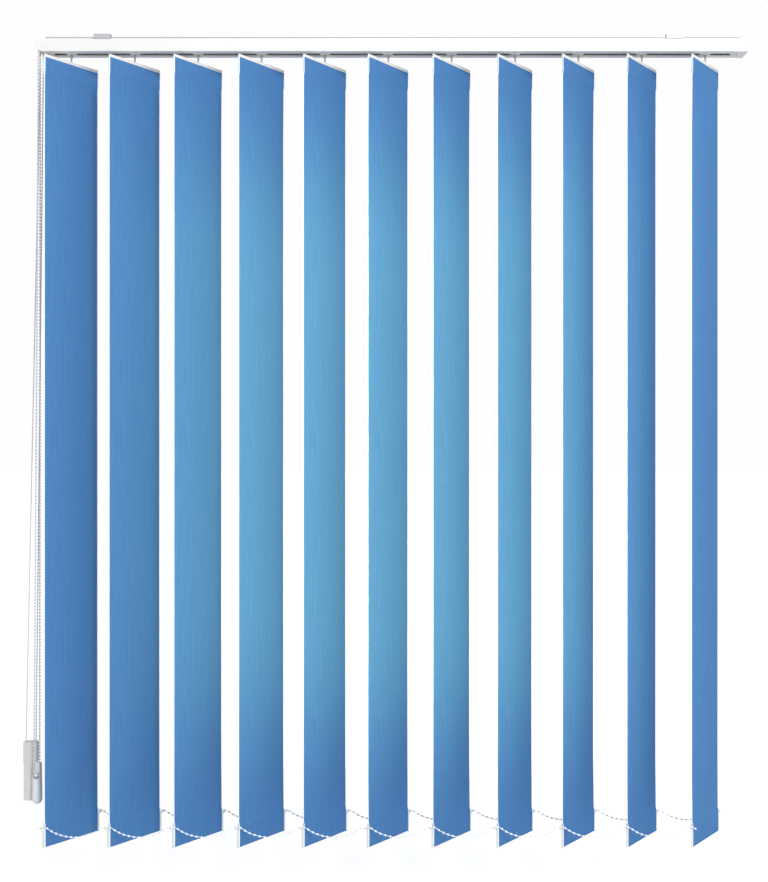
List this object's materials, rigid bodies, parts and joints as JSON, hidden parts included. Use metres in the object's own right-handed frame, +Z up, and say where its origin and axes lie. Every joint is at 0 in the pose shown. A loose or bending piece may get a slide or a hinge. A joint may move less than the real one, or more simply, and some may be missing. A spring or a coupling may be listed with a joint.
{
  "type": "vertical blind",
  "caption": "Ceiling-hung vertical blind: flat blue fabric louvres on sliding runners in a white headrail, turned by a bead chain and drawn aside by a looped cord.",
  "frame": {"origin": "on the ceiling face of the two clips, midway between their screw holes", "axes": "+X along the headrail, to the right seen from the room; +Y from the room towards the window; +Z up"},
  "size_m": [1.3133, 0.1206, 1.4557],
  "materials": {
    "rail_paint": "satin white powder coat",
    "clip_steel": "zinc-plated spring steel",
    "fitting_plastic": "moulded white plastic",
    "runner_plastic": "white acetal",
    "rod_aluminium": "extruded",
    "louvre_fabric": "plain woven blue polyester, stiffened",
    "bead_plastic": "moulded white beads on a fine cord",
    "cord_polyester": "braided white polyester",
    "weight_plastic": "light grey moulded shell"
  },
  "bodies": {
    "headrail_assembly": {"headrail": "rail_paint", "ceiling_clips": "clip_steel", "control_end": "fitting_plastic", "return_end": "fitting_plastic", "runner_01": "runner_plastic", "control_chain": "bead_plastic", "chain_weight": "bead_plastic", "draw_cord": "cord_polyester", "cord_weight": "weight_plastic"},
    "tilt_drive": {"tilt_rod": "rod_aluminium", "sprocket": "runner_plastic"},
    "upper_guide": {"upper_guide_pulley": "runner_plastic"},
    "lower_guide": {"lower_guide_pulley": "runner_plastic"},
    "return_wheel": {"return_pulley": "runner_plastic"},
    "weight_wheel": {"weight_pulley": "runner_plastic"},
    "front_chain_body": {"front_chain": "bead_plastic"},
    "back_chain_body": {"back_chain": "bead_plastic"},
    "worm_01_body": {"worm_01": "runner_plastic"},
    "vane_01": {"fittings_01": "fitting_plastic", "louvre_01": "louvre_fabric"},
    "runner_02_body": {"runner_02": "runner_plastic"},
    "worm_02_body": {"worm_02": "runner_plastic"},
    "vane_02": {"fittings_02": "fitting_plastic", "louvre_02": "louvre_fabric"},
    "runner_03_body": {"runner_03": "runner_plastic"},
    "worm_03_body": {"worm_03": "runner_plastic"},
    "vane_03": {"fittings_03": "fitting_plastic", "louvre_03": "louvre_fabric"},
    "runner_04_body": {"runner_04": "runner_plastic"},
    "worm_04_body": {"worm_04": "runner_plastic"},
    "vane_04": {"fittings_04": "fitting_plastic", "louvre_04": "louvre_fabric"},
    "runner_05_body": {"runner_05": "runner_plastic"},
    "worm_05_body": {"worm_05": "runner_plastic"},
    "vane_05": {"fittings_05": "fitting_plastic", "louvre_05": "louvre_fabric"},
    "runner_06_body": {"runner_06": "runner_plastic"},
    "worm_06_body": {"worm_06": "runner_plastic"},
    "vane_06": {"fittings_06": "fitting_plastic", "louvre_06": "louvre_fabric"},
    "runner_07_body": {"runner_07": "runner_plastic"},
    "worm_07_body": {"worm_07": "runner_plastic"},
    "vane_07": {"fittings_07": "fitting_plastic", "louvre_07": "louvre_fabric"},
    "runner_08_body": {"runner_08": "runner_plastic"},
    "worm_08_body": {"worm_08": "runner_plastic"},
    "vane_08": {"fittings_08": "fitting_plastic", "louvre_08": "louvre_fabric"},
    "runner_09_body": {"runner_09": "runner_plastic"},
    "worm_09_body": {"worm_09": "runner_plastic"},
    "vane_09": {"fittings_09": "fitting_plastic", "louvre_09": "louvre_fabric"},
    "runner_10_body": {"runner_10": "runner_plastic"},
    "worm_10_body": {"worm_10": "runner_plastic"},
    "vane_10": {"fittings_10": "fitting_plastic", "louvre_10": "louvre_fabric"},
    "runner_11_body": {"runner_11": "runner_plastic"},
    "worm_11_body": {"worm_11": "runner_plastic"},
    "vane_11": {"fittings_11": "fitting_plastic", "louvre_11": "louvre_fabric"}
  },
  "joints": [
    {"name": "traverse", "type": "slide", "parent": "headrail_assembly", "child": "runner_11_body", "axis": [1, 0, 0], "range_m": [-0.94, 0], "deforming": ["front_chain", "back_chain"]},
    {"name": "runner_10_slide", "type": "slide", "parent": "headrail_assembly", "child": "runner_10_body", "axis": [1, 0, 0], "range_m": [-0.846, 0]},
    {"name": "runner_09_slide", "type": "slide", "parent": "headrail_assembly", "child": "runner_09_body", "axis": [1, 0, 0], "range_m": [-0.752, 0]},
    {"name": "runner_08_slide", "type": "slide", "parent": "headrail_assembly", "child": "runner_08_body", "axis": [1, 0, 0], "range_m": [-0.658, 0]},
    {"name": "runner_07_slide", "type": "slide", "parent": "headrail_assembly", "child": "runner_07_body", "axis": [1, 0, 0], "range_m": [-0.564, 0]},
    {"name": "runner_06_slide", "type": "slide", "parent": "headrail_assembly", "child": "runner_06_body", "axis": [1, 0, 0], "range_m": [-0.47, 0]},
    {"name": "runner_05_slide", "type": "slide", "parent": "headrail_assembly", "child": "runner_05_body", "axis": [1, 0, 0], "range_m": [-0.376, 0]},
    {"name": "runner_04_slide", "type": "slide", "parent": "headrail_assembly", "child": "runner_04_body", "axis": [1, 0, 0], "range_m": [-0.282, 0]},
    {"name": "runner_03_slide", "type": "slide", "parent": "headrail_assembly", "child": "runner_03_body", "axis": [1, 0, 0], "range_m": [-0.188, 0]},
    {"name": "runner_02_slide", "type": "slide", "parent": "headrail_assembly", "child": "runner_02_body", "axis": [1, 0, 0], "range_m": [-0.094, 0]},
    {"name": "tilt", "type": "hinge", "parent": "headrail_assembly", "child": "vane_01", "pos_m": [-0.575, 0, -0.0175], "axis": [0, 0, 1], "range_deg": [-34, 111]},
    {"name": "worm_01_turn", "type": "hinge", "parent": "headrail_assembly", "child": "worm_01_body", "pos_m": [-0.575, -0.0106, -0.0175], "axis": [1, 0, 0], "range_deg": [-1332, 408]},
    {"name": "vane_02_turn", "type": "hinge", "parent": "runner_02_body", "child": "vane_02", "pos_m": [-0.46, 0, -0.0175], "axis": [0, 0, 1], "range_deg": [-34, 111]},
    {"name": "worm_02_turn", "type": "hinge", "parent": "runner_02_body", "child": "worm_02_body", "pos_m": [-0.46, -0.0106, -0.0175], "axis": [1, 0, 0], "range_deg": [-1332, 408]},
    {"name": "vane_03_turn", "type": "hinge", "parent": "runner_03_body", "child": "vane_03", "pos_m": [-0.345, 0, -0.0175], "axis": [0, 0, 1], "range_deg": [-34, 111]},
    {"name": "worm_03_turn", "type": "hinge", "parent": "runner_03_body", "child": "worm_03_body", "pos_m": [-0.345, -0.0106, -0.0175], "axis": [1, 0, 0], "range_deg": [-1332, 408]},
    {"name": "vane_04_turn", "type": "hinge", "parent": "runner_04_body", "child": "vane_04", "pos_m": [-0.23, 0, -0.0175], "axis": [0, 0, 1], "range_deg": [-34, 111]},
    {"name": "worm_04_turn", "type": "hinge", "parent": "runner_04_body", "child": "worm_04_body", "pos_m": [-0.23, -0.0106, -0.0175], "axis": [1, 0, 0], "range_deg": [-1332, 408]},
    {"name": "vane_05_turn", "type": "hinge", "parent": "runner_05_body", "child": "vane_05", "pos_m": [-0.115, 0, -0.0175], "axis": [0, 0, 1], "range_deg": [-34, 111]},
    {"name": "worm_05_turn", "type": "hinge", "parent": "runner_05_body", "child": "worm_05_body", "pos_m": [-0.115, -0.0106, -0.0175], "axis": [1, 0, 0], "range_deg": [-1332, 408]},
    {"name": "vane_06_turn", "type": "hinge", "parent": "runner_06_body", "child": "vane_06", "pos_m": [0, 0, -0.0175], "axis": [0, 0, 1], "range_deg": [-34, 111]},
    {"name": "worm_06_turn", "type": "hinge", "parent": "runner_06_body", "child": "worm_06_body", "pos_m": [0, -0.0106, -0.0175], "axis": [1, 0, 0], "range_deg": [-1332, 408]},
    {"name": "vane_07_turn", "type": "hinge", "parent": "runner_07_body", "child": "vane_07", "pos_m": [0.115, 0, -0.0175], "axis": [0, 0, 1], "range_deg": [-34, 111]},
    {"name": "worm_07_turn", "type": "hinge", "parent": "runner_07_body", "child": "worm_07_body", "pos_m": [0.115, -0.0106, -0.0175], "axis": [1, 0, 0], "range_deg": [-1332, 408]},
    {"name": "vane_08_turn", "type": "hinge", "parent": "runner_08_body", "child": "vane_08", "pos_m": [0.23, 0, -0.0175], "axis": [0, 0, 1], "range_deg": [-34, 111]},
    {"name": "worm_08_turn", "type": "hinge", "parent": "runner_08_body", "child": "worm_08_body", "pos_m": [0.23, -0.0106, -0.0175], "axis": [1, 0, 0], "range_deg": [-1332, 408]},
    {"name": "vane_09_turn", "type": "hinge", "parent": "runner_09_body", "child": "vane_09", "pos_m": [0.345, 0, -0.0175], "axis": [0, 0, 1], "range_deg": [-34, 111]},
    {"name": "worm_09_turn", "type": "hinge", "parent": "runner_09_body", "child": "worm_09_body", "pos_m": [0.345, -0.0106, -0.0175], "axis": [1, 0, 0], "range_deg": [-1332, 408]},
    {"name": "vane_10_turn", "type": "hinge", "parent": "runner_10_body", "child": "vane_10", "pos_m": [0.46, 0, -0.0175], "axis": [0, 0, 1], "range_deg": [-34, 111]},
    {"name": "worm_10_turn", "type": "hinge", "parent": "runner_10_body", "child": "worm_10_body", "pos_m": [0.46, -0.0106, -0.0175], "axis": [1, 0, 0], "range_deg": [-1332, 408]},
    {"name": "vane_11_turn", "type": "hinge", "parent": "runner_11_body", "child": "vane_11", "pos_m": [0.575, 0, -0.0175], "axis": [0, 0, 1], "range_deg": [-34, 111]},
    {"name": "worm_11_turn", "type": "hinge", "parent": "runner_11_body", "child": "worm_11_body", "pos_m": [0.575, -0.0106, -0.0175], "axis": [1, 0, 0], "range_deg": [-1332, 408]},
    {"name": "rod_turn", "type": "hinge", "parent": "headrail_assembly", "child": "tilt_drive", "pos_m": [-0.6305, -0.0106, -0.0175], "axis": [1, 0, 0], "range_deg": [-1332, 408]},
    {"name": "front_chain_swing", "type": "hinge", "parent": "vane_01", "child": "front_chain_body", "pos_m": [-0.61395, -0.05562, -1.4173], "axis": [0, 0, 1], "range_deg": [-111, 34]},
    {"name": "back_chain_swing", "type": "hinge", "parent": "vane_01", "child": "back_chain_body", "pos_m": [-0.53605, 0.05562, -1.4173], "axis": [0, 0, 1], "range_deg": [-111, 34]},
    {"name": "upper_guide_turn", "type": "hinge", "parent": "headrail_assembly", "child": "upper_guide", "pos_m": [-0.6296, 0.0102, -0.017], "axis": [0, 1, 0], "range_deg": [0, 13465]},
    {"name": "lower_guide_turn", "type": "hinge", "parent": "headrail_assembly", "child": "lower_guide", "pos_m": [-0.6245, 0.0102, -0.0262], "axis": [0, 1, 0], "range_deg": [-13465, 0]},
    {"name": "return_wheel_turn", "type": "hinge", "parent": "headrail_assembly", "child": "return_wheel", "pos_m": [0.64, 0.0102, -0.0176], "axis": [0, 1, 0], "range_deg": [0, 11709]},
    {"name": "weight_wheel_turn", "type": "hinge", "parent": "headrail_assembly", "child": "weight_wheel", "pos_m": [-0.6519, 0.012, -1.2958], "axis": [0, 1, 0], "range_deg": [0, 5855]}
  ],
  "couplings": [
    {"joint": "runner_10_slide", "follows": "traverse", "ratio": 0.9},
    {"joint": "runner_09_slide", "follows": "traverse", "ratio": 0.8},
    {"joint": "runner_08_slide", "follows": "traverse", "ratio": 0.7},
    {"joint": "runner_07_slide", "follows": "traverse", "ratio": 0.6},
    {"joint": "runner_06_slide", "follows": "traverse", "ratio": 0.5},
    {"joint": "runner_05_slide", "follows": "traverse", "ratio": 0.4},
    {"joint": "runner_04_slide", "follows": "traverse", "ratio": 0.3},
    {"joint": "runner_03_slide", "follows": "traverse", "ratio": 0.2},
    {"joint": "runner_02_slide", "follows": "traverse", "ratio": 0.1},
    {"joint": "worm_01_turn", "follows": "tilt", "ratio": -12},
    {"joint": "vane_02_turn", "follows": "tilt", "ratio": 1},
    {"joint": "worm_02_turn", "follows": "tilt", "ratio": -12},
    {"joint": "vane_03_turn", "follows": "tilt", "ratio": 1},
    {"joint": "worm_03_turn", "follows": "tilt", "ratio": -12},
    {"joint": "vane_04_turn", "follows": "tilt", "ratio": 1},
    {"joint": "worm_04_turn", "follows": "tilt", "ratio": -12},
    {"joint": "vane_05_turn", "follows": "tilt", "ratio": 1},
    {"joint": "worm_05_turn", "follows": "tilt", "ratio": -12},
    {"joint": "vane_06_turn", "follows": "tilt", "ratio": 1},
    {"joint": "worm_06_turn", "follows": "tilt", "ratio": -12},
    {"joint": "vane_07_turn", "follows": "tilt", "ratio": 1},
    {"joint": "worm_07_turn", "follows": "tilt", "ratio": -12},
    {"joint": "vane_08_turn", "follows": "tilt", "ratio": 1},
    {"joint": "worm_08_turn", "follows": "tilt", "ratio": -12},
    {"joint": "vane_09_turn", "follows": "tilt", "ratio": 1},
    {"joint": "worm_09_turn", "follows": "tilt", "ratio": -12},
    {"joint": "vane_10_turn", "follows": "tilt", "ratio": 1},
    {"joint": "worm_10_turn", "follows": "tilt", "ratio": -12},
    {"joint": "vane_11_turn", "follows": "tilt", "ratio": 1},
    {"joint": "worm_11_turn", "follows": "tilt", "ratio": -12},
    {"joint": "rod_turn", "follows": "tilt", "ratio": -12},
    {"joint": "front_chain_swing", "follows": "tilt", "ratio": -1},
    {"joint": "back_chain_swing", "follows": "tilt", "ratio": -1},
    {"joint": "upper_guide_turn", "follows": "traverse", "rad_per_m": -250},
    {"joint": "lower_guide_turn", "follows": "traverse", "rad_per_m": 250},
    {"joint": "return_wheel_turn", "follows": "traverse", "rad_per_m": -217.39},
    {"joint": "weight_wheel_turn", "follows": "traverse", "rad_per_m": -108.7}
  ]
}
